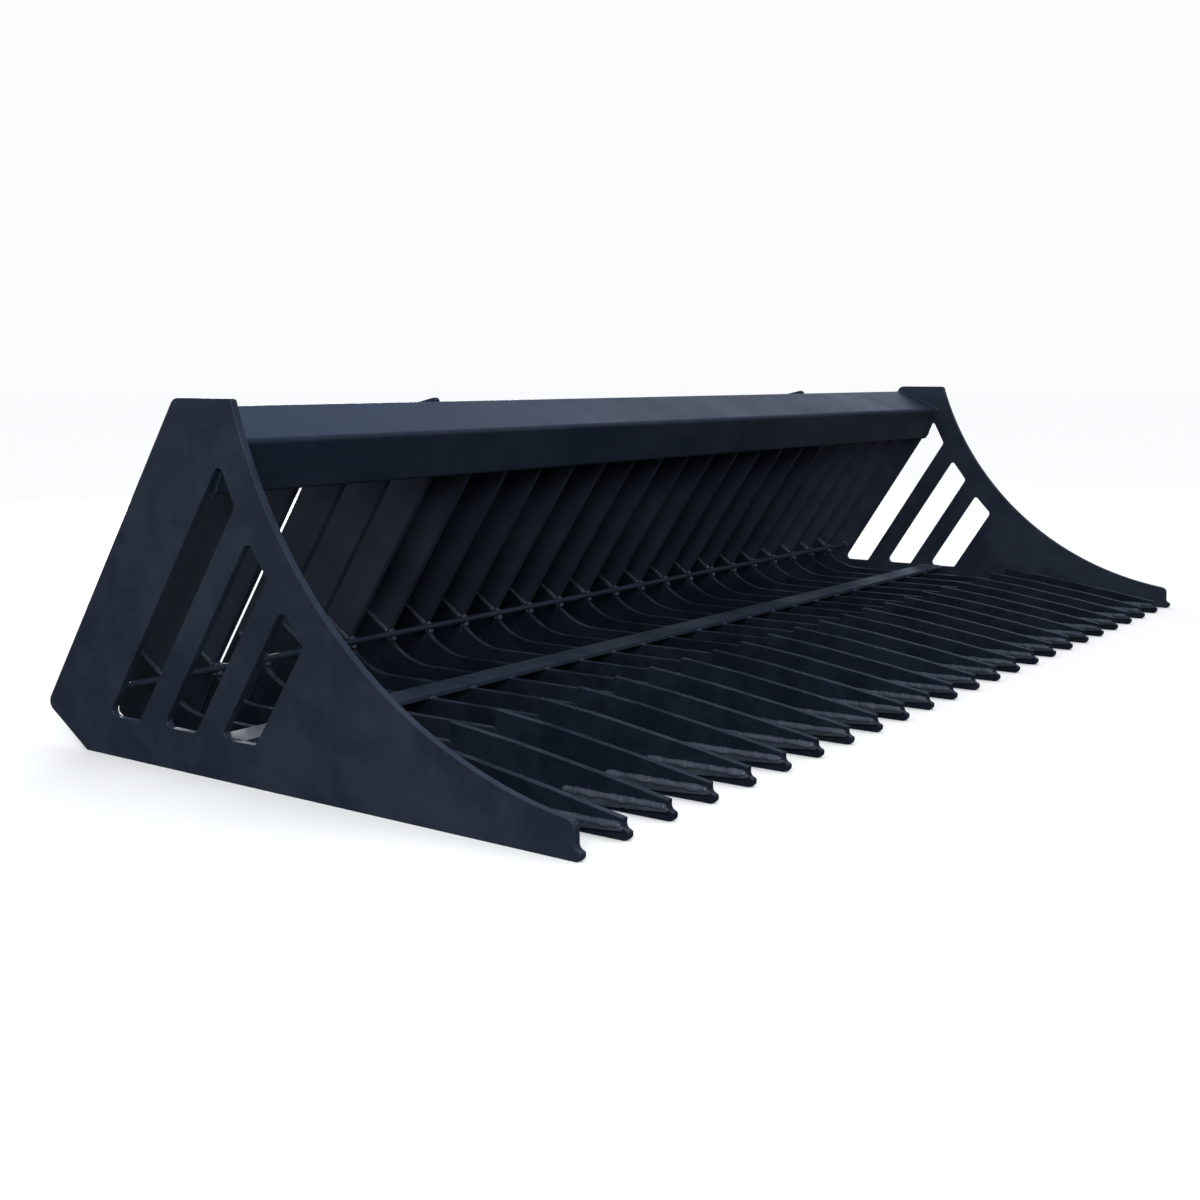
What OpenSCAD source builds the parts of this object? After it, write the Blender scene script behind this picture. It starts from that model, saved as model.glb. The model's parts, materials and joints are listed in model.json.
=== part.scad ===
// Skeleton rock bucket for a skid-steer loader, 84 inches wide.
// Width runs along X, the tine tips face -Y, the coupler faces +Y, the floor is Z = 0.
// Profiles are drawn in the side view (depth, height), with depth 0 at the tip of the side
// plates' toes, and are stood up by profile(); every piece is a plate, a bar or a tube.

/* [Main sizes] */
// Overall width, outer face to outer face of the side plates
overall_w = 2133.6; // [1800:0.1:2400]
// Thickness of the side plates, tines, slats, gussets and coupler plate
plate_t = 9.525; // [8:0.005:12]
// Number of tines between the side plates
tine_count = 23; // [23:23]
// Height of the side plates
side_h = 472; // [465:1:480]

/* [Side plates] */
// Depth of the straight bottom edge
side_bottom = 821; // [810:1:830]
// Depth of the rear corner above the heel chamfer
side_rear = 906; // [895:1:912]
// Height of the rear corner above the heel chamfer
side_rear_z = 53; // [45:1:60]
// Radius of the swept front edge
front_arc_r = 618.19; // [616:0.01:621]
// Horizontal width of each slanted window
window_w = 63.6; // [50:0.1:68]
// Corner radius of the windows
window_r = 8; // [4:1:10]

/* [Tines] */
// Depth where each front tine butts on its heel tine
joint_y = 333; // [320:1:345]
// Height of the heel tine's flat top edge
heel_top = 45; // [42:1:46]
// Height of the front tine at its rear end
front_top = 69.9; // [66:0.1:76]
// Radius of the inner heel curve
heel_r = 120; // [118:1:124]
// Thickness of the wear bar on each front tine
tip_bar_t = 4.75; // [4:0.05:8]

/* [Back] */
// Lean of the back, in degrees from vertical
back_lean = 33.34; // [33:0.01:34]
// Depth of each back slat, square to the slope
slat_w = 62; // [58:0.1:64]
// Diameter of the heel rod
rod_d = 9.525; // [8:0.005:10]

/* [Top beam] */
// Long side of the beam tube
beam_w = 101.6; // [95:0.1:103]
// Short side of the beam tube
beam_h = 76.2; // [70:0.1:80]
// Wall of the beam tube
beam_wall = 6.35; // [4:0.05:9]
// Outer corner radius of the beam tube
beam_r = 6.35; // [2:0.05:10]
// Tilt of the beam's top face, in degrees
beam_tilt = 24.6; // [24:0.1:26]

/* [Floor strap] */
// Depth of the strap's front edge
strap_y = 525; // [500:1:540]
// Width of the strap
strap_w = 50.8; // [40:0.1:64]
// Thickness of the strap
strap_t = 6.35; // [4:0.05:9]

/* [Coupler] */
// Width of the quick-attach plate
coupler_w = 1143; // [1100:1:1160]
// Distance between the two latch slots
slot_pitch = 1003; // [980:1:1020]
// Length of a latch slot along the width
slot_l = 64; // [50:1:80]
// Width of a latch slot
slot_w = 26; // [20:1:30]

/* [Hidden] */

inner_w = overall_w - 2*plate_t;
pitch = (overall_w - plate_t)/(tine_count + 1);   // centre to centre of the plates
ledge_reach = 44;                                 // how far the latch ledge stands out behind

// side-view directions: back_n points out of the back, back_s runs up the slope
back_n = [cos(back_lean), sin(back_lean)];
back_s = [-sin(back_lean), cos(back_lean)];
slat_n0 = 697.5;                                  // slope distance of the slats' front edges
mitre_s = -349;                                   // where slats and heel tines are butt welded
heel_arc_y = 688;                                 // where the heel curve leaves the flat floor
rod_p = [774.1, 88];                              // rear of the heel rod, and its axis height
arc_p = [-66.26, 655.94];                         // centre of the side plates' swept edge
window_z = 53;                                    // bottom edge of the windows

beam_p = [536.9, 420.2];                          // front top corner of the beam
beam_e = [cos(beam_tilt), sin(beam_tilt)];        // along the top face, rearwards
beam_d = [sin(beam_tilt), -cos(beam_tilt)];       // down the front face

coupler_y = 870;                                  // front face of the coupler plate
coupler_z0 = 36;                                  // its lower edge
coupler_z1 = 412;                                 // its upper edge
coupler_back = coupler_y + plate_t;               // its rear face
row_shift = (coupler_back + ledge_reach)/2;       // depth that lies at Y = 0
lip_reach = 30;                                   // run and rise of the hook's 45 degree lip
lip_t = 9.475;                                    // thickness of that lip
gusset_nub = [634.5, 466.3];                      // front top point of the outer gussets
gusset_z = 100;                                   // lower edge of the gussets
inner_drop = 25;                                  // how far below the beam's top inner gussets start
backing_s = [-318, -120];                         // slope heights of the backing straps' lower edges
backing_w = 76.2;                                 // width of a backing strap, up the slope
backing_l = 1187;                                 // length of a backing strap

paint = [0.13, 0.16, 0.22];
paint_dark = [0.10, 0.12, 0.17];

function slope(n, s) = n*back_n + s*back_s;
function tine_x(i) = (i - (tine_count + 1)/2)*pitch;
// depth along the line of slope distance n at height z, and height at depth y
function slope_y(n, z) = (n - back_n[1]*z)/back_n[0];
function slope_z(n, y) = (n - back_n[0]*y)/back_n[1];
// where the line of slope distance n meets the underside of the beam
function under_beam(n) = let (q = beam_p + beam_h*beam_d, k = (n - q*back_n)/(beam_e*back_n))
  q + k*beam_e;

function unit(v) = v/norm(v);
// one rounded corner b between a and c, as steps + 1 points
function corner(a, b, c, r, steps = 5) = r <= 0 ? [b] :
  let (u = unit(a - b), v = unit(c - b), half = acos(u*v)/2, l = r/tan(half),
       m = b + unit(u + v)*r/sin(half), p = b + u*l - m, q = b + v*l - m)
  [for (k = [0:steps]) m + r*unit(p*(steps - k)/steps + q*k/steps)];
// outline with a radius for each point
function rounded(pts, rs) = [for (i = [0:len(pts) - 1])
  each corner(pts[(i + len(pts) - 1) % len(pts)], pts[i], pts[(i + 1) % len(pts)], rs[i])];

// stands a side-view outline up across X, t thick, its middle at x
module profile(x, t) {
  translate([x - t/2, -row_shift, 0]) rotate([90, 0, 90]) linear_extrude(t) children();
}

// blunt toe at the foot of the front edge, with a hollow above it; y is the depth of its tip
function nose(y) = [for (p = [[6.5, 0], [3.5, 1], [0.8, 3.6], [0, 5.8], [0, 9.4], [1.4, 10.8],
  [4.2, 11.9], [6.3, 13.4], [7.6, 15.8], [8, 18.5]]) p + [y, 0]];

// ---- side plates ----

// window with its bottom front corner at depth y and its slanted sides z_front and z_rear high
module window_cut(y, z_front, z_rear) {
  f = [y + back_s[0]/back_s[1]*(z_front - window_z), z_front];
  r = [y + window_w + back_s[0]/back_s[1]*(z_rear - window_z), z_rear];
  polygon(rounded([[y, window_z], [y + window_w, window_z], r, f],
    [window_r, window_r, window_r, window_r]));
}

module side_profile() {
  front = concat(nose(0), [[8, 34], [9.3, 38.4], [12.5, 41.6], [17, 43], [478.5, 363.7]]);
  rear = [[521.5, side_h], [630, side_h], [side_rear, side_rear_z], [side_bottom, 0]];
  difference() {
    polygon(rounded(concat(front, rear), concat([for (p = front) 0], [12, 15, 12, 6])));
    translate(arc_p) circle(r = front_arc_r, $fn = 180);
    window_cut(709, 341, 395.5);
    window_cut(598.5, 257.5, 302.5);
    window_cut(489, 183, 223);
  }
}

module side_plate_left() {
  color(paint) profile(-(overall_w - plate_t)/2, plate_t) side_profile();
}

module side_plate_right() {
  color(paint) profile((overall_w - plate_t)/2, plate_t) side_profile();
}

// ---- top beam ----

module beam_outline(inset, r) {
  translate(beam_p) rotate(beam_tilt) polygon(rounded([[inset, -inset],
    [inset, inset - beam_h], [beam_w - inset, inset - beam_h], [beam_w - inset, -inset]],
    [r, r, r, r]));
}

module top_beam() {
  color(paint) profile(0, inner_w) difference() {
    beam_outline(0, beam_r);
    beam_outline(beam_wall, max(beam_r - beam_wall, 1));
  }
}

// ---- heel rod and floor strap ----

module heel_rod() {
  color(paint) translate([-inner_w/2, rod_p[0] - rod_d/2 - row_shift, rod_p[1]]) rotate([0, 90, 0])
    cylinder(d = rod_d, h = inner_w, $fn = 48);
}

module floor_strap() {
  color(paint) translate([-inner_w/2, strap_y - row_shift, heel_top])
    cube([inner_w, strap_w, strap_t]);
}

// ---- tines ----

module heel_profile() {
  f = slope(slat_n0, mitre_s);
  r = slope(slat_n0 + slat_w, mitre_s);
  difference() {
    polygon([[joint_y, 0], [side_bottom, 0],
      [coupler_y, side_rear_z*(coupler_y - side_bottom)/(side_rear - side_bottom)],
      [coupler_y, slope_z(slat_n0 + slat_w, coupler_y)], r, f,
      [heel_arc_y, heel_top], [joint_y, heel_top]]);
    translate([heel_arc_y, heel_top + heel_r]) circle(r = heel_r, $fn = 120);
  }
}

module heel_tine(i) {
  color(paint) profile(tine_x(i), plate_t) heel_profile();
}

module front_profile() {
  polygon(concat(nose(1.5), [[9.2, 24.2], [108, 40.8], [229, 58.5],
    [joint_y, front_top], [joint_y, 0]]));
}

module front_tine(i) {
  color(paint) profile(tine_x(i), plate_t) front_profile();
}

module tip_bars() {
  color(paint_dark) for (i = [1:tine_count])
    profile(tine_x(i) - (plate_t + tip_bar_t)/2, tip_bar_t)
      polygon([[8, 11.5], [6.5, 14], [10, 16], [151, 15.5], [156, 13], [149, 9.5], [92, 4.5],
        [42, 8.5]]);
}

// ---- back slats ----

module back_slats() {
  color(paint) for (i = [1:tine_count]) profile(tine_x(i), plate_t)
    polygon([slope(slat_n0, mitre_s), slope(slat_n0 + slat_w, mitre_s),
      under_beam(slat_n0 + slat_w), under_beam(slat_n0)]);
}

// ---- coupler on the back ----

module coupler_plate() {
  color(paint) translate([-coupler_w/2, coupler_y - row_shift, coupler_z0])
    cube([coupler_w, plate_t, coupler_z1 - coupler_z0]);
}

module coupler_hook() {
  edge = lip_t/sqrt(2);
  color(paint) profile(0, coupler_w) polygon([[coupler_y, coupler_z1],
    [coupler_back, coupler_z1], [coupler_back + lip_reach, coupler_z1 + lip_reach],
    [coupler_back + lip_reach - edge, coupler_z1 + lip_reach + edge],
    [coupler_y, coupler_z1 + 2*edge]]);
}

module coupler_ledge() {
  fall = ledge_reach*tan(30);
  color(paint) difference() {
    profile(0, coupler_w) polygon([[coupler_y, coupler_z0], [coupler_back, coupler_z0],
      [coupler_back + ledge_reach, coupler_z0 - fall],
      [coupler_back + ledge_reach - plate_t*sin(30), coupler_z0 - fall - plate_t*cos(30)],
      [coupler_y, coupler_z0 - plate_t*(1/cos(30) - tan(30))]]);
    for (sx = [-1, 1])
      translate([sx*slot_pitch/2, coupler_back + ledge_reach/2 - row_shift,
          coupler_z0 - fall/2 - plate_t/2/cos(30)])
        rotate([-30, 0, 0]) cube([slot_l, slot_w, 4*plate_t], center = true);
  }
}

// drop is how far down the beam's rear face the top edge starts, and nub its front point, if any
module gusset_profile(drop, nub) {
  n = slat_n0 + slat_w + plate_t;
  top = beam_p + beam_w*beam_e;
  low = top + beam_h*beam_d;
  polygon(concat(nub, [top + drop*beam_d, low, [slope_y(n, low[1]), low[1]],
    [slope_y(n, gusset_z), gusset_z], [coupler_y, gusset_z], [coupler_y, coupler_z1]]));
}

module gusset_left() {
  color(paint) profile(tine_x(5.5), plate_t) gusset_profile(0, [gusset_nub]);
}

module gusset_right() {
  color(paint) profile(tine_x(18.5), plate_t) gusset_profile(0, [gusset_nub]);
}

module inner_gussets() {
  color(paint) for (i = [9.5, 14.5]) profile(tine_x(i), plate_t) gusset_profile(inner_drop, []);
}

module backing_straps() {
  n = slat_n0 + slat_w;
  color(paint) for (s = backing_s) profile(0, backing_l)
    polygon([slope(n, s), slope(n + plate_t, s), slope(n + plate_t, s + backing_w),
      slope(n, s + backing_w)]);
}

side_plate_left();
side_plate_right();
top_beam();
heel_rod();
floor_strap();
heel_tine(1);  // heel_tine_01
heel_tine(2);  // heel_tine_02
heel_tine(3);  // heel_tine_03
heel_tine(4);  // heel_tine_04
heel_tine(5);  // heel_tine_05
heel_tine(6);  // heel_tine_06
heel_tine(7);  // heel_tine_07
heel_tine(8);  // heel_tine_08
heel_tine(9);  // heel_tine_09
heel_tine(10);  // heel_tine_10
heel_tine(11);  // heel_tine_11
heel_tine(12);  // heel_tine_12
heel_tine(13);  // heel_tine_13
heel_tine(14);  // heel_tine_14
heel_tine(15);  // heel_tine_15
heel_tine(16);  // heel_tine_16
heel_tine(17);  // heel_tine_17
heel_tine(18);  // heel_tine_18
heel_tine(19);  // heel_tine_19
heel_tine(20);  // heel_tine_20
heel_tine(21);  // heel_tine_21
heel_tine(22);  // heel_tine_22
heel_tine(23);  // heel_tine_23
front_tine(1);  // front_tine_01
front_tine(2);  // front_tine_02
front_tine(3);  // front_tine_03
front_tine(4);  // front_tine_04
front_tine(5);  // front_tine_05
front_tine(6);  // front_tine_06
front_tine(7);  // front_tine_07
front_tine(8);  // front_tine_08
front_tine(9);  // front_tine_09
front_tine(10);  // front_tine_10
front_tine(11);  // front_tine_11
front_tine(12);  // front_tine_12
front_tine(13);  // front_tine_13
front_tine(14);  // front_tine_14
front_tine(15);  // front_tine_15
front_tine(16);  // front_tine_16
front_tine(17);  // front_tine_17
front_tine(18);  // front_tine_18
front_tine(19);  // front_tine_19
front_tine(20);  // front_tine_20
front_tine(21);  // front_tine_21
front_tine(22);  // front_tine_22
front_tine(23);  // front_tine_23
tip_bars();
back_slats();
coupler_plate();
coupler_hook();
coupler_ledge();
gusset_left();
gusset_right();
inner_gussets();
backing_straps();
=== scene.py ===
"""Looks for an 84 inch skeleton rock bucket: satin paint, weld beads, stage, lights and camera.

Lengths are in metres. X runs along the width, -Y towards the tine tips, +Z up. A side-view
point is (depth, height), with depth 0 at the tip of the side plates' toes. Layout turns such points
into frame positions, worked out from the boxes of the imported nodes.
"""

import json
import logging
import math
from dataclasses import dataclass, field
from enum import Enum, IntEnum

import bpy
import numpy as np
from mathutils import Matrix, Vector


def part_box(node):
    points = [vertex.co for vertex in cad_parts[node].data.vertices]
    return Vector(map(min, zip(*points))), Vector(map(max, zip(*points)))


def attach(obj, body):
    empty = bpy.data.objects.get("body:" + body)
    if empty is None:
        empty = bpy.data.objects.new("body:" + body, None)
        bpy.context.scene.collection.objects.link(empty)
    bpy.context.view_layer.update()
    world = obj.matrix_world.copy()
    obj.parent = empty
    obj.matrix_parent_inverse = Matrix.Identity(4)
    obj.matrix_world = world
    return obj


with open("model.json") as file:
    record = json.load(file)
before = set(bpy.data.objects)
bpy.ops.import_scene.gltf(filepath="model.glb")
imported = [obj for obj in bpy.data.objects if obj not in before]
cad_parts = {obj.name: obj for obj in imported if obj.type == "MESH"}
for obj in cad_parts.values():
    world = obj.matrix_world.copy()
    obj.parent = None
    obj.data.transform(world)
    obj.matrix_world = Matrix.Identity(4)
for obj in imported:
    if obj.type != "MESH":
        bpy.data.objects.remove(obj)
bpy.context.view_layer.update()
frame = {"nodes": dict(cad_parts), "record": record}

log = logging.getLogger("rock_bucket")
Colour = tuple[float, float, float]
Place = tuple[float, float, float]
Materials = dict[str, bpy.types.Material]
MM = 0.001
EDGE_RADIUS = 1.6 * MM


# ---------------------------------------------------------------- layout


@dataclass(frozen=True)
class Layout:
    """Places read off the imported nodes, with the side view's slope directions.

    Args:
        plate: thickness of the tines, slats and gussets.
        shift: depth that lies at Y = 0.
        tines: X of each tine's middle.
        inner: X of the side plates' inner faces, to either side.
        lean: lean of the back from vertical, in radians.
        slat_front: slope distance of the slats' front edges.
        slat_width: depth of a slat, square to the slope.
        mitre: height up the slope where slats meet heel tines.
    """

    plate: float
    shift: float
    tines: np.ndarray
    inner: float
    lean: float = math.radians(33.34)
    slat_front: float = 697.5 * MM
    slat_width: float = 62 * MM
    mitre: float = -349 * MM

    @classmethod
    def from_frame(cls) -> "Layout":
        """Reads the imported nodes' boxes.

        Returns:
            The layout.
        """
        names = sorted(n for n in frame["nodes"] if n.startswith("heel_tine_"))
        boxes = [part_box(n) for n in names]
        middles = np.array([(lo.x + hi.x) / 2 for lo, hi in boxes])
        lo, hi = boxes[0]
        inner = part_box("top_beam")[1].x
        return cls(hi.x - lo.x, -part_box("side_plate_left")[0].y, np.sort(middles), inner)

    @property
    def out(self) -> np.ndarray:
        """Side-view direction square to the slope, out of the back."""
        return np.array([math.cos(self.lean), math.sin(self.lean)])

    @property
    def up(self) -> np.ndarray:
        """Side-view direction up the slope."""
        return np.array([-math.sin(self.lean), math.cos(self.lean)])

    def slope(self, distance: float, height: float) -> np.ndarray:
        """Side-view point at a slope distance and a height up the slope."""
        return distance * self.out + height * self.up

    def at(self, x: float, points: np.ndarray) -> np.ndarray:
        """Stands side-view points up at one X.

        Args:
            x: place along the width.
            points: (n, 2) array of depth and height.

        Returns:
            (n, 3) array of frame positions.
        """
        flat = np.atleast_2d(points)
        return np.column_stack([np.full(len(flat), x), flat[:, 0] - self.shift, flat[:, 1]])

    def faces(self, x: float) -> list[tuple[float, float]]:
        """The two faces of the plate whose middle is at x, as (face X, outward sign)."""
        return [(x - self.plate / 2, -1.0), (x + self.plate / 2, 1.0)]


@dataclass(frozen=True)
class Beam:
    """The tube beam's section in the side view.

    Args:
        corner: front top corner of the tube.
        tilt: tilt of its top face, in radians.
        wide: size along the top face.
        tall: size down the front face.
    """

    corner: tuple[float, float] = (536.9 * MM, 420.2 * MM)
    tilt: float = math.radians(24.6)
    wide: float = 101.6 * MM
    tall: float = 76.2 * MM

    def point(self, along: float, down: float) -> np.ndarray:
        """Finds a point of the section, measured from the front top corner.

        Args:
            along: distance rearwards along the top face.
            down: distance down the front face.

        Returns:
            The side-view point.
        """
        rear = np.array([math.cos(self.tilt), math.sin(self.tilt)])
        fall = np.array([math.sin(self.tilt), -math.cos(self.tilt)])
        return np.array(self.corner) + along * rear + down * fall

    def under(self, distance: float, layout: Layout) -> np.ndarray:
        """Finds where a line up the slope meets the beam's underside.

        Args:
            distance: the line's slope distance.
            layout: the side view's directions.

        Returns:
            The side-view point.
        """
        start, end = self.point(0, self.tall), self.point(self.wide, self.tall)
        gap = (distance - start @ layout.out) / ((end - start) @ layout.out)
        return start + gap * (end - start)


# ---------------------------------------------------------------- mesh building


class Soup:
    """Collects closed tubes and grids, and makes one mesh object of them."""

    def __init__(self) -> None:
        """Starts with nothing in it."""
        self.points: list[np.ndarray] = []
        self.loops: list[np.ndarray] = []
        self.sizes: list[np.ndarray] = []
        self.count = 0

    def add(self, points: np.ndarray, faces: list[np.ndarray]) -> None:
        """Adds points and arrays of faces.

        Args:
            points: (n, 3) positions.
            faces: arrays of vertex numbers, each (faces, corners), counted from this piece's 0.
        """
        self.points.append(points)
        for block in faces:
            self.loops.append((block + self.count).ravel())
            self.sizes.append(np.full(len(block), block.shape[1]))
        self.count += len(points)

    def tube(self, rings: np.ndarray) -> None:
        """Adds a tube closed round and capped at both ends.

        Args:
            rings: (stations, around, 3), turning right-handed about the way along the tube.
        """
        stations, around = rings.shape[:2]
        row = np.arange(stations - 1)[:, None] * around
        here = np.arange(around)[None, :]
        there = (here + 1) % around
        quads = np.stack([row + here, row + there, row + around + there, row + around + here], -1)
        start = np.arange(around)[::-1][None, :]
        end = (stations - 1) * around + np.arange(around)[None, :]
        self.add(rings.reshape(-1, 3), [quads.reshape(-1, 4), start, end])

    def piece(self, name: str, material: bpy.types.Material) -> bpy.types.Object:
        """Makes the collected surfaces one object at the origin, riding on the bucket.

        Args:
            name: the piece's name.
            material: its finish.

        Returns:
            The new object.
        """
        loops, sizes = np.concatenate(self.loops), np.concatenate(self.sizes)
        mesh = bpy.data.meshes.new(name)
        mesh.vertices.add(self.count)
        mesh.vertices.foreach_set("co", np.concatenate(self.points).astype(np.float32).ravel())
        mesh.loops.add(len(loops))
        mesh.loops.foreach_set("vertex_index", loops.astype(np.int32))
        mesh.polygons.add(len(sizes))
        starts = np.concatenate([[0], np.cumsum(sizes)[:-1]])
        mesh.polygons.foreach_set("loop_start", starts.astype(np.int32))
        mesh.polygons.foreach_set("loop_total", sizes.astype(np.int32))
        mesh.polygons.foreach_set("use_smooth", np.full(len(sizes), True))
        mesh.update(calc_edges=True)
        mesh.validate()
        mesh.materials.append(material)
        made = bpy.data.objects.new(name, mesh)
        bpy.context.scene.collection.objects.link(made)
        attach(made, "root")
        log.info("%s: %d faces", name, len(sizes))
        return made


def wander(places: np.ndarray, step: float, rng: np.random.Generator) -> np.ndarray:
    """Smooth noise between about -1 and 1 along a line.

    It is the sum of four sine waves whose lengths fall from three steps to under one step,
    each with a phase of its own, divided by the sum's usual reach.

    Args:
        places: distances along the line.
        step: length over which the noise changes.
        rng: seeded source of the phases.

    Returns:
        One value for each place.
    """
    lengths = step * np.array([3.1, 1.9, 1.2, 0.7])
    phases = rng.uniform(0, 2 * np.pi, 4)
    waves = np.sin(2 * np.pi * places[:, None] / lengths + phases) * [1, 0.9, 0.7, 0.5]
    return waves.sum(1) / 2


@dataclass(frozen=True)
class BeadStyle:
    """How a run of weld looks.

    Args:
        width: width across the run.
        height: height above the joint.
        ripple: length of one ripple.
        depth: depth of the ripples, as a share of the height.
        lump: unevenness of width and height, as a share.
        around: points round the section.
        fine: stations to each ripple.
    """

    width: float
    height: float
    ripple: float
    depth: float
    lump: float
    around: int
    fine: float


class Runs(Enum):
    """The kinds of weld run on the bucket."""

    MITRE = BeadStyle(8.0 * MM, 2.8 * MM, 3.4 * MM, 0.35, 0.2, 10, 3.5)
    SEAM = BeadStyle(6.5 * MM, 1.5 * MM, 3.2 * MM, 0.35, 0.16, 8, 3.0)
    TACK = BeadStyle(5.5 * MM, 2.6 * MM, 4.5 * MM, 0.2, 0.3, 8, 4.0)
    DAB = BeadStyle(9.0 * MM, 4.2 * MM, 5.0 * MM, 0.15, 0.25, 10, 4.0)
    FILLET = BeadStyle(8.0 * MM, 3.0 * MM, 3.6 * MM, 0.3, 0.12, 8, 3.0)
    HEAVY = BeadStyle(11.0 * MM, 4.4 * MM, 4.5 * MM, 0.3, 0.14, 10, 3.0)
    OVERLAY = BeadStyle(9.6 * MM, 3.8 * MM, 6.5 * MM, 0.25, 0.22, 12, 4.0)
    BUTT = BeadStyle(6.5 * MM, 1.5 * MM, 3.0 * MM, 0.35, 0.12, 8, 3.0)


class Seed(IntEnum):
    """First seed of each group of weld runs; a run's own number is added to it."""

    BEAM_END = 20
    STRAP_END = 40
    ROD_END = 50
    GUSSET = 60
    HOOK = 70
    MITRE = 100
    ROD = 300
    ROD_SIDE = 400
    STRAP = 500
    BUTT = 700
    BUTT_OVER = 800
    OVERLAY = 900
    SLAT_TOP = 1000
    GUSSET_FOOT = 1200
    BACKING = 1400
    HEEL_FOOT = 1600
    HEEL_SEAM = 2000


def lay_bead(soup: Soup, path: np.ndarray, rise: np.ndarray, style: BeadStyle, seed: int) -> None:
    """Lays one weld bead along a path.

    The section is half an ellipse standing on the joint, with a shallow root below it:
    across = width / 2 * cos(t), up = height * sin(t), or 0.4 * height * sin(t) below the joint.
    Width and height both follow an end envelope (1 - |2u - 1|^n)^(1/2), where u is the share
    of the length, and a slow wander. At a distance s along the run the height dips by
    depth * |sin(pi * (s / ripple + 0.4 * cos(t)^2))|, which bows the ripples into crescents.

    Args:
        soup: where the bead's surface goes.
        path: (n, 3) points of the joint, evenly joined by straight stretches.
        rise: (3,) or (n, 3) direction out of the joint.
        style: the run's sizes.
        seed: number that settles its unevenness.
    """
    rng = np.random.default_rng(seed)
    rise = np.broadcast_to(rise, path.shape)
    gaps = np.linalg.norm(np.diff(path, axis=0), axis=1)
    known = np.concatenate([[0], np.cumsum(gaps)])
    length = known[-1]
    stations = max(int(length / style.ripple * style.fine), 7)
    even = np.linspace(0, 1, stations)
    share = (1 - np.cos(np.pi * even)) / 2 if stations < 14 else even
    s = share * length
    centre = np.column_stack([np.interp(s, known, path[:, k]) for k in range(3)])
    normal = np.column_stack([np.interp(s, known, rise[:, k]) for k in range(3)])
    along = np.gradient(centre, axis=0)
    along /= np.linalg.norm(along, axis=1, keepdims=True)
    normal -= (normal * along).sum(1, keepdims=True) * along
    normal /= np.linalg.norm(normal, axis=1, keepdims=True)
    side = np.cross(normal, along)
    power = max(2.0, length / style.width * 1.6)
    ends = np.sqrt(np.clip(1 - np.abs(2 * share - 1) ** power, 0.02, 1))
    wide = style.width / 2 * ends * (1 + style.lump * wander(s, 3 * style.ripple, rng))
    tall = style.height * ends * (1 + style.lump * wander(s, 2 * style.ripple, rng))
    drift = 0.1 * style.width * style.lump * wander(s, 6 * style.ripple, rng)
    turn = np.linspace(0, 2 * np.pi, style.around, endpoint=False)[None, :]
    bow = 0.4 * np.cos(turn) ** 2
    dip = 1 - style.depth * np.abs(np.sin(np.pi * (s[:, None] / style.ripple + bow)))
    up = np.where(np.sin(turn) > 0, np.sin(turn) * dip, 0.4 * np.sin(turn))
    across = np.cos(turn) * wide[:, None] + drift[:, None]
    rings = centre[:, None] + across[..., None] * side[:, None]
    rings = rings + (up * tall[:, None])[..., None] * normal[:, None]
    soup.tube(rings)


# ---------------------------------------------------------------- finishes


class Nodes:
    """Short calls for building one node tree."""

    def __init__(self, tree: bpy.types.NodeTree) -> None:
        """Works on the given tree."""
        self.tree = tree

    def add(self, kind: str, **values: object) -> bpy.types.Node:
        """Adds a node and sets its properties.

        Args:
            kind: the node's type.
            **values: properties by name.

        Returns:
            The node.
        """
        made = self.tree.nodes.new(kind)
        for name, value in values.items():
            setattr(made, name, value)
        return made

    def join(self, source: bpy.types.NodeSocket, target: bpy.types.NodeSocket) -> None:
        """Links an output to an input."""
        self.tree.links.new(source, target)

    def feed(self, target: bpy.types.NodeSocket, value: object) -> None:
        """Sets an input, or links an output to it.

        Args:
            target: the input.
            value: a plain value or an output.
        """
        if isinstance(value, bpy.types.NodeSocket):
            self.join(value, target)
        else:
            target.default_value = value

    def math(self, kind: str, a: object, b: object = 0.0, c: object = 0.0) -> bpy.types.NodeSocket:
        """Adds a Math node.

        Args:
            kind: the operation.
            a: first value or output.
            b: second value or output.
            c: third value or output.

        Returns:
            The node's output.
        """
        made = self.add("ShaderNodeMath", operation=kind)
        for socket, value in zip(made.inputs, (a, b, c)):
            self.feed(socket, value)
        return made.outputs[0]

    def noise(self, where: object, scale: object, detail: float, rough: float) -> bpy.types.NodeSocket:
        """Adds a Noise texture.

        Args:
            where: the coordinates' output.
            scale: how many features to a metre.
            detail: octaves of detail.
            rough: strength of each octave against the last.

        Returns:
            The noise value's output.
        """
        made = self.add("ShaderNodeTexNoise")
        self.feed(made.inputs["Vector"], where)
        self.feed(made.inputs["Scale"], scale)
        made.inputs["Detail"].default_value = detail
        made.inputs["Roughness"].default_value = rough
        return made.outputs["Fac"]

    def span(self, value: object, low: float, high: float) -> bpy.types.NodeSocket:
        """Stretches low..high to 0..1, smoothly and clamped.

        Args:
            value: value or output to stretch.
            low: what becomes 0.
            high: what becomes 1.

        Returns:
            The stretched output.
        """
        made = self.add("ShaderNodeMapRange", interpolation_type="SMOOTHSTEP")
        self.feed(made.inputs["Value"], value)
        made.inputs["From Min"].default_value = low
        made.inputs["From Max"].default_value = high
        return made.outputs["Result"]

    def mix(self, share: object, first: object, second: object) -> bpy.types.NodeSocket:
        """Mixes two colours.

        Args:
            share: share of the second colour.
            first: colour or output at 0.
            second: colour or output at 1.

        Returns:
            The mixed colour's output.
        """
        made = self.add("ShaderNodeMix", data_type="RGBA")
        self.feed(made.inputs[0], share)
        self.feed(made.inputs[6], first)
        self.feed(made.inputs[7], second)
        return made.outputs[2]


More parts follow.
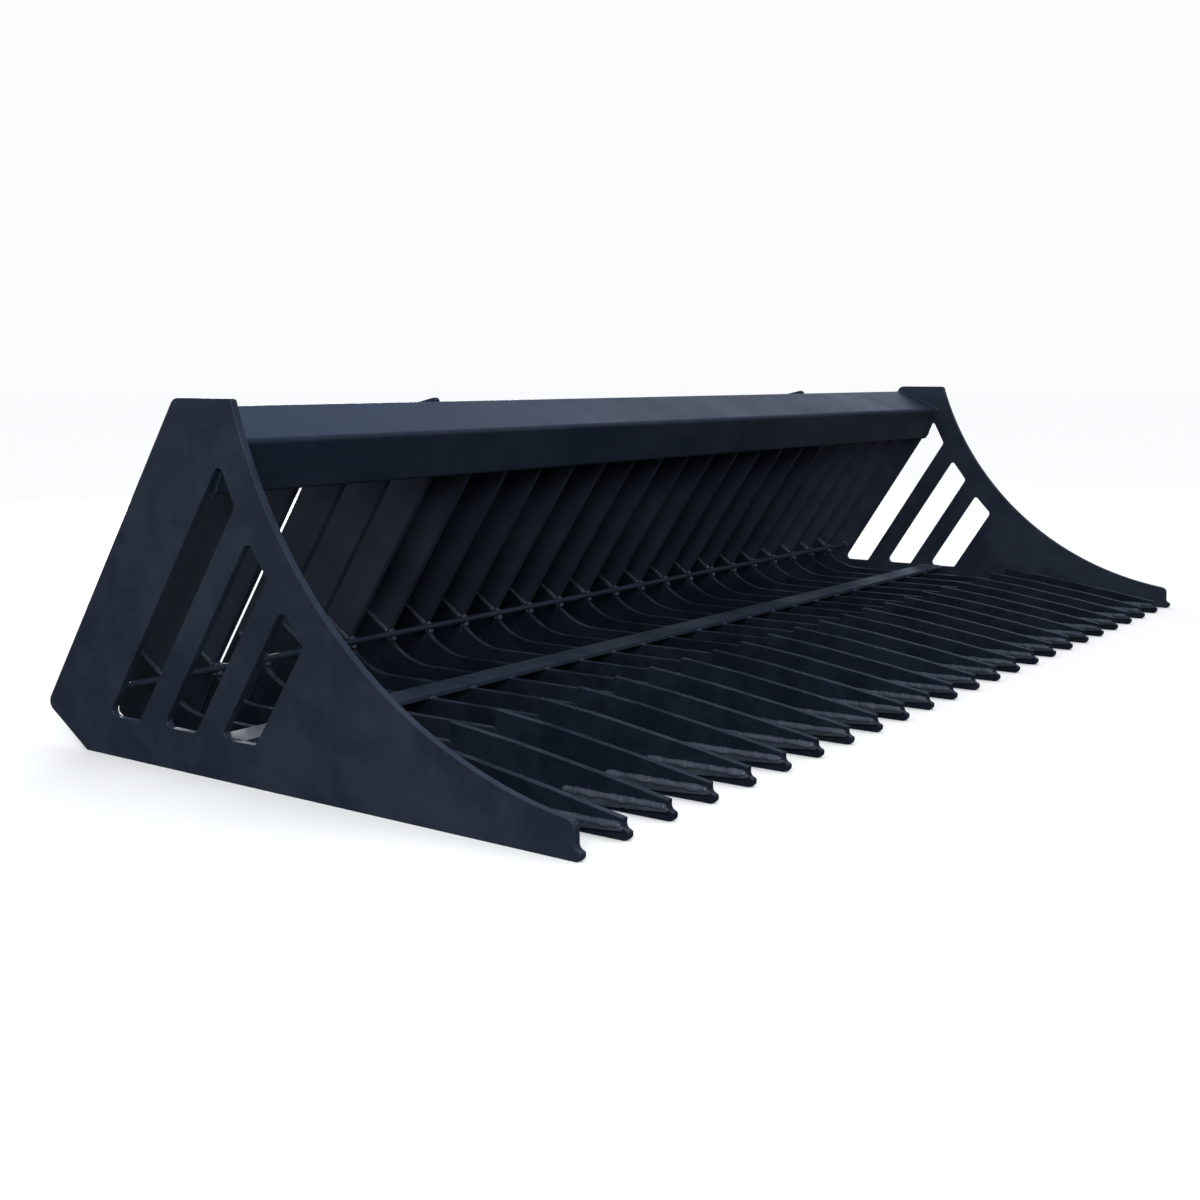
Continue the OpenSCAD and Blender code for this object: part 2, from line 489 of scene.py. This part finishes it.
def film_group() -> bpy.types.NodeTree:
    """Builds the group for sprayed satin paint on rolled plate.

    It puts out the film's colour with cloudy mottling, paler rubbed edges and settled dust, its
    roughness, a height for bump (plate waves, orange peel and spray grain), and a normal that
    rounds the plates' edges. With a high share the paler edges are also a painted highlight on edges that
    catch the light.

    Returns:
        The shader node group.
    """
    tree = bpy.data.node_groups.new("paint_film", "ShaderNodeTree")
    face = tree.interface
    wanted = [
        ("Paint", "NodeSocketColor", (0.015, 0.02, 0.03, 1)),
        ("Pale", "NodeSocketColor", (0.05, 0.06, 0.08, 1)),
        ("Dust", "NodeSocketColor", (0.16, 0.16, 0.16, 1)),
        ("Mottle", "NodeSocketFloat", 0.3),
        ("Edge Rub And Highlight", "NodeSocketFloat", 0.3),
        ("Dusting", "NodeSocketFloat", 0.2),
        ("Roughness", "NodeSocketFloat", 0.42),
        ("Cloud Size", "NodeSocketFloat", 9.0),
    ]
    for name, kind, value in wanted:
        face.new_socket(name, in_out="INPUT", socket_type=kind).default_value = value
    given_out = [("Color", "Color"), ("Roughness", "Float"), ("Height", "Float"), ("Normal", "Vector")]
    for name, kind in given_out:
        face.new_socket(name, in_out="OUTPUT", socket_type=f"NodeSocket{kind}")
    n = Nodes(tree)
    given = n.add("NodeGroupInput").outputs
    out = n.add("NodeGroupOutput").inputs
    where = n.add("ShaderNodeTexCoord").outputs["Object"]
    facing = n.add("ShaderNodeNewGeometry").outputs["Normal"]
    soft = n.add("ShaderNodeBevel", samples=4)
    soft.inputs["Radius"].default_value = EDGE_RADIUS

    clouds = n.noise(where, given["Cloud Size"], 5, 0.62)
    blotch = n.noise(where, n.math("MULTIPLY", given["Cloud Size"], 3.7), 4, 0.6)
    grain = n.noise(where, 620, 2, 0.5)
    peel = n.noise(where, 190, 3, 0.55)
    plate = n.noise(where, 5.5, 2, 0.4)

    same = n.add("ShaderNodeVectorMath", operation="DOT_PRODUCT")
    n.join(facing, same.inputs[0])
    n.join(soft.outputs[0], same.inputs[1])
    edge = n.span(same.outputs["Value"], 0.985, 0.80)
    patchy = n.math("ADD", n.math("MULTIPLY", blotch, 0.6), n.math("MULTIPLY", peel, 0.4))
    rub = n.span(patchy, 0.4, 0.62)
    # Paler edges: rubbed paint on the edges, and with a high share, as on the tines, also a painted
    # highlight on edges that catch the light.
    rubbed_and_lit_edge = n.math("MULTIPLY", n.math("MULTIPLY", edge, rub), given["Edge Rub And Highlight"])

    drifting = n.math("ADD", clouds, n.math("MULTIPLY", blotch, 0.5))
    cloudy = n.math("MULTIPLY", n.span(drifting, 0.6, 0.92), given["Mottle"])
    colour = n.mix(cloudy, given["Paint"], given["Pale"])
    colour = n.mix(rubbed_and_lit_edge, colour, given["Pale"])
    split = n.add("ShaderNodeSeparateXYZ")
    n.join(facing, split.inputs[0])
    lies = n.span(split.outputs["Z"], 0.35, 0.98)
    settled = n.math("MULTIPLY", lies, n.span(n.math("ADD", clouds, grain), 0.75, 1.25))
    colour = n.mix(n.math("MULTIPLY", settled, given["Dusting"]), colour, given["Dust"])
    n.join(colour, out["Color"])

    shine = n.math("MULTIPLY_ADD", n.math("SUBTRACT", clouds, 0.5), 0.22, given["Roughness"])
    shine = n.math("MULTIPLY_ADD", n.math("MULTIPLY", settled, given["Dusting"]), 0.5, shine)
    n.join(n.math("MULTIPLY_ADD", rubbed_and_lit_edge, -0.08, shine), out["Roughness"])

    height = n.math("MULTIPLY", plate, 2.4)
    height = n.math("MULTIPLY_ADD", peel, 0.10, height)
    height = n.math("MULTIPLY_ADD", blotch, 0.22, height)
    n.join(n.math("MULTIPLY_ADD", grain, 0.02, height), out["Height"])
    n.join(soft.outputs[0], out["Normal"])
    return tree


@dataclass(frozen=True)
class PaintFinish:
    """One part's paint.

    Args:
        slot: the record's material slot.
        paint: colour of the film; on the tines it is darkened as painted shade, and on the slats, tip
            bars and welds it is lightened as painted light.
        pale: colour where the film is thin or cloudy.
        dust: colour of the settled dust.
        roughness: middle roughness.
        mottle: share of cloudy mottling.
        edge_rub_and_highlight: share of paler, rubbed edges; on the tines it also stands in for a painted
            highlight.
        dusting: share of dust on what lies flat.
        cloud_size: clouds to a metre.
        bump: strength of the bump.
        gloss: specular level of the shader.
    """

    slot: str
    paint: Colour = (0.0105, 0.0165, 0.0300)
    pale: Colour = (0.027, 0.037, 0.058)
    dust: Colour = (0.075, 0.088, 0.112)
    roughness: float = 0.42
    mottle: float = 0.35
    edge_rub_and_highlight: float = 0.45
    dusting: float = 0.12
    cloud_size: float = 8.0
    bump: float = 0.35
    gloss: float = 0.5

    def build(self, group: bpy.types.NodeTree) -> bpy.types.Material:
        """Makes the material.

        Args:
            group: the paint film's node group.

        Returns:
            The finished material, named after its slot.
        """
        made = bpy.data.materials.new(self.slot + "_finish")
        made.use_nodes = True
        made.node_tree.nodes.clear()
        n = Nodes(made.node_tree)
        film = n.add("ShaderNodeGroup", node_tree=group)
        film.inputs["Paint"].default_value = (*self.paint, 1)
        film.inputs["Pale"].default_value = (*self.pale, 1)
        film.inputs["Dust"].default_value = (*self.dust, 1)
        film.inputs["Mottle"].default_value = self.mottle
        film.inputs["Edge Rub And Highlight"].default_value = self.edge_rub_and_highlight
        film.inputs["Dusting"].default_value = self.dusting
        film.inputs["Roughness"].default_value = self.roughness
        film.inputs["Cloud Size"].default_value = self.cloud_size
        shader = n.add("ShaderNodeBsdfPrincipled")
        bump = n.add("ShaderNodeBump")
        bump.inputs["Strength"].default_value = self.bump
        bump.inputs["Distance"].default_value = 1 * MM
        n.join(film.outputs["Height"], bump.inputs["Height"])
        n.join(film.outputs["Normal"], bump.inputs["Normal"])
        n.join(film.outputs["Color"], shader.inputs["Base Color"])
        n.join(film.outputs["Roughness"], shader.inputs["Roughness"])
        n.join(bump.outputs["Normal"], shader.inputs["Normal"])
        shader.inputs["Specular IOR Level"].default_value = self.gloss
        n.join(shader.outputs[0], n.add("ShaderNodeOutputMaterial").inputs["Surface"])
        return made


@dataclass
class PaintShop:
    """All the finishes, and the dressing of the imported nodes."""

    finishes: tuple[PaintFinish, ...] = (
        PaintFinish("plate_paint", edge_rub_and_highlight=0.3, mottle=0.5, cloud_size=9.0, bump=0.45),
        PaintFinish("beam_paint", roughness=0.36, mottle=0.3, dusting=0.1),
        # Tines: the paint darker than the plates' is painted shade on the tines' faces, and the high edge
        # share is a painted highlight on their top edges.
        PaintFinish("tine_paint", paint=(0.0055, 0.0090, 0.0160), mottle=0.25, edge_rub_and_highlight=0.7,
                    dusting=0.45, cloud_size=11.0, gloss=0.22),
        # Slats: the paint lighter than the plates' is painted light on the slats' faces.
        PaintFinish("slat_paint", paint=(0.0135, 0.0195, 0.0320), mottle=0.3, edge_rub_and_highlight=0.12,
                    cloud_size=10.0),
        PaintFinish("strap_paint", paint=(0.0145, 0.0215, 0.0370), roughness=0.38, dusting=0.5, edge_rub_and_highlight=0.6),
        PaintFinish("rod_paint", roughness=0.40, edge_rub_and_highlight=0.3),
        # Tip bars: the paint lighter than the tines' and plates' is painted light on the bars' outer
        # faces.
        PaintFinish("tip_bar_paint", paint=(0.026, 0.033, 0.046), pale=(0.060, 0.070, 0.088),
                    roughness=0.44, mottle=0.5, edge_rub_and_highlight=0.6, cloud_size=22.0),
        PaintFinish("coupler_paint", mottle=0.4, cloud_size=7.0),
        # Welds: the paint lighter than the plates' is a painted highlight on the beads' tops.
        PaintFinish("weld_paint", paint=(0.036, 0.045, 0.062), pale=(0.075, 0.086, 0.105),
                    roughness=0.34, mottle=0.5, edge_rub_and_highlight=0.5, cloud_size=40.0, bump=0.3),
    )
    made: Materials = field(default_factory=dict)

    def mix(self) -> None:
        """Builds every material."""
        group = film_group()
        for finish in self.finishes:
            self.made[finish.slot] = finish.build(group)

    def dress(self) -> None:
        """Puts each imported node's finish into its material slots."""
        for part in frame["record"]["subparts"]:
            slots = frame["nodes"][part["node"]].material_slots
            for slot in slots:
                slot.material = self.made[part["material_slot"]]


# ---------------------------------------------------------------- weld runs


@dataclass
class TineWelds:
    """Beads on the tines: mitres, rod and strap tacks, heel seams, butts and tip overlays."""

    layout: Layout
    paints: Materials
    seam_top: tuple[float, float] = (775.0 * MM, 74.0 * MM)
    seam_foot: tuple[float, float] = (811.0 * MM, 8.5 * MM)
    rod_foot: tuple[float, float] = (-2.6 * MM, -7.6 * MM)
    rod_head: tuple[float, float] = (1.8 * MM, 5.0 * MM)
    rod_side_top: tuple[float, float] = (1.0 * MM, -4.5 * MM)
    rod_side_foot: tuple[float, float] = (4.0 * MM, -11.0 * MM)
    step_height: float = 45 * MM
    overlay_back: tuple[float, float] = (157 * MM, 15.4 * MM)
    overlay_mid: tuple[float, float] = (84 * MM, 15.8 * MM)
    overlay_tip: tuple[float, float] = (10 * MM, 16.8 * MM)

    def mitres(self) -> None:
        """Lays a bead across each slat's foot, on both faces."""
        soup = Soup()
        place = self.layout
        low = place.slope(place.slat_front + 0.5 * MM, place.mitre)
        high = place.slope(place.slat_front + place.slat_width - 5 * MM, place.mitre)
        for number, middle in enumerate(place.tines):
            for x, sign in place.faces(middle):
                path = place.at(x, np.array([low, high]))
                seed = Seed.MITRE + 2 * number + int(sign > 0)
                lay_bead(soup, path, np.array([sign, 0, 0]), Runs.MITRE.value, seed)
        soup.piece("mitre_welds", self.paints["weld_paint"])

    def rod_tacks(self) -> None:
        """Lays short beads across each tine where the heel rod meets it, below and above."""
        soup = Soup()
        place = self.layout
        lo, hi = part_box("heel_rod")
        rod = np.array([(lo.y + hi.y) / 2 + place.shift, (lo.z + hi.z) / 2])
        half = np.array([-1, 1]) * (place.plate / 2 + 1 * MM)
        dabs = ((self.rod_foot, (-0.8, 0.2)), (self.rod_head, (-0.6, 0.8)))
        for number, middle in enumerate(place.tines):
            for step, (offset, lean) in enumerate(dabs):
                spot = place.at(middle, rod + np.array(offset))
                path = spot + np.column_stack([half, np.zeros((2, 2))])
                seed = Seed.ROD + 2 * number + step
                lay_bead(soup, path, np.array([0, *lean]), Runs.DAB.value, seed)
            foot = place.at(0, rod + np.array([self.rod_side_top, self.rod_side_foot]))
            for x, sign in place.faces(middle):
                path = foot + np.array([x + 0.8 * MM * sign, 0, 0])
                lean = np.array([0.8 * sign, -0.6, 0])
                lay_bead(soup, path, lean, Runs.TACK.value, Seed.ROD_SIDE + 2 * number + (sign > 0))
        # The rod tacks take the tip bars' paint, with its painted light.
        soup.piece("rod_welds", self.paints["tip_bar_paint"])

    def heel_seams(self) -> None:
        """Lays the seam that runs down both faces of each heel tine, below the rod."""
        soup = Soup()
        place = self.layout
        line = np.array([self.seam_top, self.seam_foot])
        for number, middle in enumerate(place.tines):
            for x, sign in place.faces(middle):
                path = place.at(x, line)
                seed = Seed.HEEL_SEAM + 2 * number + (sign > 0)
                lay_bead(soup, path, np.array([sign, 0, 0]), Runs.SEAM.value, seed)
        soup.piece("heel_seam_welds", self.paints["tine_paint"])

    def strap_tacks(self) -> None:
        """Lays short beads where the floor strap's edges cross each tine."""
        soup = Soup()
        place = self.layout
        lo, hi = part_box("floor_strap")
        for number, middle in enumerate(place.tines):
            for side, y in ((-1, lo.y - 0.6 * MM), (1, hi.y + 0.6 * MM)):
                half = place.plate / 2 + 1.5 * MM
                z = lo.z + 0.6 * MM
                path = np.array([[middle - half, y, z], [middle + half, y, z]])
                seed = Seed.STRAP + 2 * number + (side > 0)
                lay_bead(soup, path, np.array([0, side * 0.7, 0.7]), Runs.TACK.value, seed)
        soup.piece("strap_welds", self.paints["strap_paint"])

    def butts(self) -> None:
        """Lays the beads that join heel and front tines, on both faces and over the step."""
        soup = Soup()
        place = self.layout
        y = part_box("front_tine_01")[1].y
        step = self.step_height
        for number, middle in enumerate(place.tines):
            for x, sign in place.faces(middle):
                path = np.array([[x, y, 2 * MM], [x, y, step]])
                seed = Seed.BUTT + 2 * number + (sign > 0)
                lay_bead(soup, path, np.array([sign, 0, 0]), Runs.BUTT.value, seed)
            half = place.plate / 2
            behind = y + 0.5 * MM
            over = np.array([[middle - half, behind, step], [middle + half, behind, step]])
            lay_bead(soup, over, np.array([0, 0.7, 0.7]), Runs.TACK.value, Seed.BUTT_OVER + number)
        soup.piece("butt_welds", self.paints["tine_paint"])

    def overlays(self) -> None:
        """Lays the lumpy run along the top of each wear bar."""
        soup = Soup()
        place = self.layout
        line = np.array([self.overlay_back, self.overlay_mid, self.overlay_tip])
        for number, middle in enumerate(place.tines):
            x = middle - place.plate / 2 - 1.6 * MM
            path = place.at(x, line)
            lean = np.array([-0.62, 0, 0.78])
            lay_bead(soup, path, lean, Runs.OVERLAY.value, Seed.OVERLAY + number)
        soup.piece("tip_overlays", self.paints["weld_paint"])


@dataclass
class FrameWelds:
    """Beads that join beam, side plates, slats, strap and rod."""

    layout: Layout
    beam: Beam
    paints: Materials

    def beam_ends(self) -> None:
        """Lays beads round the beam where it meets both side plates, in the beam's paint."""
        soup = Soup()
        box = self.beam
        rear = box.point(1, 0) - box.point(0, 0)
        fall = box.point(0, 1) - box.point(0, 0)
        runs = [
            (box.point(-6 * MM, 0), box.point(box.wide, 0), -fall, Runs.HEAVY),
            (box.point(0, -4 * MM), box.point(0, box.tall), -rear, Runs.HEAVY),
            (box.point(0, box.tall), box.point(box.wide, box.tall), fall, Runs.BUTT),
            (box.point(box.wide, 4 * MM), box.point(box.wide, box.tall), rear, Runs.BUTT),
        ]
        for number, (start, end, away, run) in enumerate(runs):
            for sign in (-1.0, 1.0):
                x = sign * (self.layout.inner - 0.6 * MM)
                path = self.layout.at(x, np.array([start, end]))
                lean = np.array([-sign * 0.7, away[0] * 0.7, away[1] * 0.7])
                lay_bead(soup, path, lean, run.value, Seed.BEAM_END + 2 * number + (sign > 0))
        soup.piece("beam_end_welds", self.paints["beam_paint"])

    def slat_tops(self) -> None:
        """Lays beads where the slats butt under the beam, on both faces."""
        soup = Soup()
        place = self.layout
        front = self.beam.under(place.slat_front + 1 * MM, place)
        rear = self.beam.under(place.slat_front + place.slat_width - 1 * MM, place)
        away = self.beam.point(0, 1) - self.beam.point(0, 0)
        for number, middle in enumerate(place.tines):
            for x, sign in place.faces(middle):
                path = place.at(x, np.array([front, rear]))
                lean = np.array([0.75 * sign, away[0] * 0.65, away[1] * 0.65])
                seed = Seed.SLAT_TOP + 2 * number + (sign > 0)
                lay_bead(soup, path, lean, Runs.FILLET.value, seed)
        soup.piece("slat_top_welds", self.paints["weld_paint"])

    def strap_ends(self) -> None:
        """Lays beads round the floor strap's ends on the side plates."""
        soup = Soup()
        lo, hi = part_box("floor_strap")
        for sign in (-1.0, 1.0):
            x = sign * (self.layout.inner - 0.8 * MM)
            z = hi.z - 1 * MM
            path = np.array([[x, lo.y - 5 * MM, z], [x, hi.y + 5 * MM, z]])
            lean = np.array([-sign * 0.7, 0, 0.7])
            lay_bead(soup, path, lean, Runs.HEAVY.value, Seed.STRAP_END + (sign > 0))
        soup.piece("strap_end_welds", self.paints["weld_paint"])

    def rod_ends(self) -> None:
        """Lays a ring of bead round each end of the heel rod."""
        soup = Soup()
        lo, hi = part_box("heel_rod")
        points, share = 15, 0.96
        turn = np.linspace(0, 2 * np.pi * share, points)
        round_rod = np.column_stack([np.zeros(points), np.cos(turn), np.sin(turn)])
        centre = np.array([0, (lo.y + hi.y) / 2, (lo.z + hi.z) / 2])
        for sign in (-1.0, 1.0):
            x = np.array([sign * (self.layout.inner - 0.8 * MM), 0, 0])
            path = centre + x + round_rod * ((hi.z - lo.z) / 2 + 0.6 * MM)
            lean = round_rod * 0.7 + np.array([-sign * 0.7, 0, 0])
            lay_bead(soup, path, lean, Runs.TACK.value, Seed.ROD_END + (sign > 0))
        soup.piece("rod_end_welds", self.paints["weld_paint"])


@dataclass
class CouplerWelds:
    """Beads on the back: gussets, backing straps, coupler plate's edges and heel tines' feet."""

    layout: Layout
    paints: Materials
    strap_feet: tuple[float, float] = (-318 * MM, -120 * MM)
    strap_wide: float = 76.2 * MM
    heel_weld_top: float = 60 * MM

    def gusset_middles(self) -> list[float]:
        """Reads the gussets' places off their boxes.

        Returns:
            X of each gusset's middle, the outer pair first.
        """
        outer = [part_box(n) for n in ("gusset_left", "gusset_right")]
        lo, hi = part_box("inner_gussets")
        half = self.layout.plate / 2
        return [(a.x + b.x) / 2 for a, b in outer] + [lo.x + half, hi.x - half]

    def gussets(self) -> None:
        """Lays upright fillets between the gussets and the coupler plate."""
        soup = Soup()
        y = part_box("coupler_plate")[0].y - 0.6 * MM
        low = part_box("gusset_left")[0]
        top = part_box("coupler_plate")[1].z
        for number, middle in enumerate(self.gusset_middles()):
            for x, sign in self.layout.faces(middle):
                path = np.array([[x, y, low.z + 2 * MM], [x, y, top - 3 * MM]])
                lean = np.array([0.7 * sign, -0.7, 0])
                seed = Seed.GUSSET + 2 * number + (sign > 0)
                lay_bead(soup, path, lean, Runs.FILLET.value, seed)
        soup.piece("gusset_welds", self.paints["weld_paint"])

    def gusset_feet(self) -> None:
        """Lays fillets where the gussets stand on the backing straps."""
        soup = Soup()
        place = self.layout
        face = place.slat_front + place.slat_width + place.plate + 0.6 * MM
        for number, middle in enumerate(self.gusset_middles()):
            for x, sign in place.faces(middle):
                for foot in self.strap_feet:
                    low = place.slope(face, foot + 2 * MM)
                    high = place.slope(face, foot + self.strap_wide - 2 * MM)
                    path = place.at(x, np.array([low, high]))
                    lean = np.array([0.7 * sign, place.out[0] * 0.7, place.out[1] * 0.7])
                    seed = Seed.GUSSET_FOOT + 4 * number + (sign > 0)
                    lay_bead(soup, path, lean, Runs.FILLET.value, seed)
        soup.piece("gusset_foot_welds", self.paints["weld_paint"])

    def backing(self) -> None:
        """Lays short beads where the backing straps' edges cross the slats."""
        soup = Soup()
        place = self.layout
        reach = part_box("backing_straps")[1].x
        face = place.slat_front + place.slat_width + 0.8 * MM
        half = place.plate / 2 + 1 * MM
        gap = 0.6 * MM
        crossed = [m for m in place.tines if abs(m) < reach - half]
        for number, middle in enumerate(crossed):
            for foot in self.strap_feet:
                for edge, way in ((foot - gap, -1.0), (foot + self.strap_wide + gap, 1.0)):
                    point = place.slope(face, edge)
                    path = np.array([place.at(x, point)[0] for x in (middle - half, middle + half)])
                    lean = 0.7 * place.out + 0.7 * way * place.up
                    seed = Seed.BACKING + 4 * number + int(way)
                    lay_bead(soup, path, np.array([0, *lean]), Runs.TACK.value, seed)
        soup.piece("backing_welds", self.paints["weld_paint"])

    def hook_and_ledge(self) -> None:
        """Lays the long beads along the coupler plate's top and bottom edges."""
        soup = Soup()
        lo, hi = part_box("coupler_plate")
        gap = 0.5 * MM
        runs = [
            (lo.y, hi.z, (0, -1, 0)),
            (lo.y, lo.z, (0, -1, 0)),
            (hi.y, hi.z - gap, (0, 0.9, -0.4)),
            (hi.y, lo.z + gap, (0, 0.9, 0.4)),
        ]
        for number, (y, z, lean) in enumerate(runs):
            path = np.array([[lo.x + 4 * MM, y, z], [hi.x - 4 * MM, y, z]])
            lay_bead(soup, path, np.array(lean), Runs.BUTT.value, Seed.HOOK + number)
        soup.piece("hook_welds", self.paints["weld_paint"])

    def heel_feet(self) -> None:
        """Lays fillets where the heel tines bear on the coupler plate."""
        soup = Soup()
        place = self.layout
        lo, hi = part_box("coupler_plate")
        for number, middle in enumerate(m for m in place.tines if lo.x < m < hi.x):
            for x, sign in place.faces(middle):
                y = lo.y - 0.5 * MM
                path = np.array([[x, y, lo.z + 1 * MM], [x, y, self.heel_weld_top]])
                lean = np.array([0.7 * sign, -0.7, 0])
                seed = Seed.HEEL_FOOT + 2 * number + (sign > 0)
                lay_bead(soup, path, lean, Runs.TACK.value, seed)
        soup.piece("heel_foot_welds", self.paints["weld_paint"])


# ---------------------------------------------------------------- stage, lights, camera


@dataclass
class Studio:
    """Pale floor, soft lights, sky and camera."""

    floor_radius: float = 40.0
    floor_rings: int = 12
    floor_sectors: int = 64
    floor_tone: Colour = (0.93, 0.93, 0.92)
    floor_bounce: Colour = (0.06, 0.064, 0.072)
    eye: Place = (-2.3109, -1.3816, 0.5023)
    wall_tone: Colour = (0.965, 0.97, 0.975)
    sky_tone: Colour = (1.02, 1.04, 1.07)
    low_mirror: Colour = (0.15, 0.19, 0.26)
    high_mirror: Colour = (0.17, 0.26, 0.48)
    glow: float = 0.36
    glow_way: Place = (0.915, 0.25, 0.31)
    azimuth: float = math.radians(-54.26)
    elevation: float = math.radians(4.33)
    lens: float = 46.13
    shift_y: float = -0.0917

    def floor(self) -> None:
        """Makes the floor: a flat disc, its points at (r cos t, r sin t, 0) on widening rings."""
        rings, sectors = self.floor_rings, self.floor_sectors
        radius = np.concatenate([[1 * MM], np.geomspace(0.5, self.floor_radius, rings)])
        turn = np.linspace(0, 2 * np.pi, sectors, endpoint=False)
        wide, deep = np.outer(radius, np.cos(turn)), np.outer(radius, np.sin(turn))
        grid = np.stack([wide, deep, np.zeros_like(wide)], -1)
        row = np.arange(rings)[:, None] * sectors
        here = np.arange(sectors)[None, :]
        there = (here + 1) % sectors
        outer = row + sectors
        quads = np.stack([row + here, outer + here, outer + there, row + there], -1).reshape(-1, 4)
        mesh = bpy.data.meshes.new("studio_floor")
        mesh.from_pydata(grid.reshape(-1, 3).tolist(), [], quads.tolist())
        floor = bpy.data.objects.new("studio_floor", mesh)
        bpy.context.scene.collection.objects.link(floor)
        paper = bpy.data.materials.new("floor_paper")
        paper.use_nodes = True
        paper.node_tree.nodes.clear()
        n = Nodes(paper.node_tree)
        seen = n.add("ShaderNodeLightPath").outputs["Is Camera Ray"]
        sheet = n.add("ShaderNodeBsdfDiffuse")
        n.join(n.mix(seen, (*self.floor_bounce, 1), (*self.floor_tone, 1)), sheet.inputs["Color"])
        n.join(sheet.outputs[0], n.add("ShaderNodeOutputMaterial").inputs["Surface"])
        mesh.materials.append(paper)

    def sky(self) -> None:
        """Makes the soft sky: even for shading, dimmer in reflections, plain and pale behind.

        What the paint mirrors rises from the horizon's tone to the zenith's, with a glow
        behind the right-hand end, added as smoothstep(direction . glow, 0.93, 1).
        """
        world = bpy.data.worlds.new("studio_sky")
        bpy.context.scene.world = world
        world.use_nodes = True
        world.node_tree.nodes.clear()
        n = Nodes(world.node_tree)
        where = n.add("ShaderNodeTexCoord").outputs["Generated"]
        split = n.add("ShaderNodeSeparateXYZ")
        n.join(where, split.inputs[0])
        toward = n.add("ShaderNodeVectorMath", operation="DOT_PRODUCT")
        n.join(where, toward.inputs[0])
        toward.inputs[1].default_value = Vector(self.glow_way).normalized()
        glow = n.math("MULTIPLY", n.span(toward.outputs["Value"], 0.93, 1.0), self.glow)
        rise = n.span(split.outputs["Z"], -0.05, 0.9)
        mirrored = n.mix(rise, (*self.low_mirror, 1), (*self.high_mirror, 1))
        lights = n.add("ShaderNodeVectorMath", operation="ADD")
        n.join(mirrored, lights.inputs[0])
        n.join(glow, lights.inputs[1])
        path = n.add("ShaderNodeLightPath")
        tone = n.mix(path.outputs["Is Glossy Ray"], (*self.sky_tone, 1), lights.outputs[0])
        tone = n.mix(path.outputs["Is Camera Ray"], tone, (*self.wall_tone, 1))
        back = n.add("ShaderNodeBackground")
        n.join(tone, back.inputs["Color"])
        n.join(back.outputs[0], n.add("ShaderNodeOutputWorld").inputs["Surface"])

    def light(self, name: str, place: Place, aim: Place, size: tuple[float, float], power: float,
              tint: Colour) -> None:
        """Adds a rectangular soft light that the camera doesn't see.

        Args:
            name: the light's name.
            place: where it hangs.
            aim: the point that it faces.
            size: width and height.
            power: watts.
            tint: colour.
        """
        data = bpy.data.lights.new(name, "AREA")
        data.shape = "RECTANGLE"
        data.size, data.size_y = size
        data.energy = power
        data.color = tint
        lamp = bpy.data.objects.new(name, data)
        lamp.location = place
        lamp.visible_camera = False
        lamp.rotation_mode = "QUATERNION"
        lamp.rotation_quaternion = (Vector(aim) - Vector(place)).to_track_quat("-Z", "Y")
        bpy.context.scene.collection.objects.link(lamp)

    def lights(self) -> None:
        """Hangs the lights: one above the beam, a fill at the front left, one for the back."""
        cool, pale = (0.78, 0.89, 1.0), (0.93, 0.96, 1.0)
        self.light("overhead_soft", (1.7, 2.2, 2.3), (0.4, 0, 0.3), (3.0, 2.0), 2.5, cool)
        self.light("side_fill", (-3.0, -1.7, 1.5), (0.25, 0.2, 0.25), (1.1, 1.1), 46, pale)
        self.light("rear_soft", (2.2, 3.2, 0.9), (0.1, 0.4, 0.3), (1.6, 0.7), 60, pale)

    def camera(self) -> None:
        """Places the camera by its eye point, heading and tilt."""
        data = bpy.data.cameras.new("view_camera")
        data.lens = self.lens
        data.sensor_width = 36
        data.shift_y = self.shift_y
        data.clip_start, data.clip_end = 0.05, 200
        back = Vector((math.sin(self.azimuth) * math.cos(self.elevation),
                       -math.cos(self.azimuth) * math.cos(self.elevation),
                       math.sin(self.elevation)))
        eye = bpy.data.objects.new("view_camera", data)
        eye.rotation_mode = "QUATERNION"
        eye.rotation_quaternion = (-back).to_track_quat("-Z", "Y")
        eye.location = self.eye
        bpy.context.scene.collection.objects.link(eye)
        bpy.context.scene.camera = eye

    def build(self) -> None:
        """Builds the whole studio."""
        self.camera()
        self.floor()
        self.sky()
        self.lights()
        bpy.context.scene.view_settings.view_transform = "Standard"


def main() -> None:
    """Builds the studio, the paint and every weld in order."""
    logging.basicConfig(level=logging.INFO, format="%(name)s %(message)s")
    layout = Layout.from_frame()
    Studio().build()
    shop = PaintShop()
    shop.mix()
    shop.dress()
    tines = TineWelds(layout, shop.made)
    tines.mitres()
    tines.rod_tacks()
    tines.heel_seams()
    tines.strap_tacks()
    tines.butts()
    tines.overlays()
    body = FrameWelds(layout, Beam(), shop.made)
    body.beam_ends()
    body.slat_tops()
    body.strap_ends()
    body.rod_ends()
    back = CouplerWelds(layout, shop.made)
    back.gussets()
    back.gusset_feet()
    back.backing()
    back.hook_and_ledge()
    back.heel_feet()


if __name__ == "__main__":
    main()
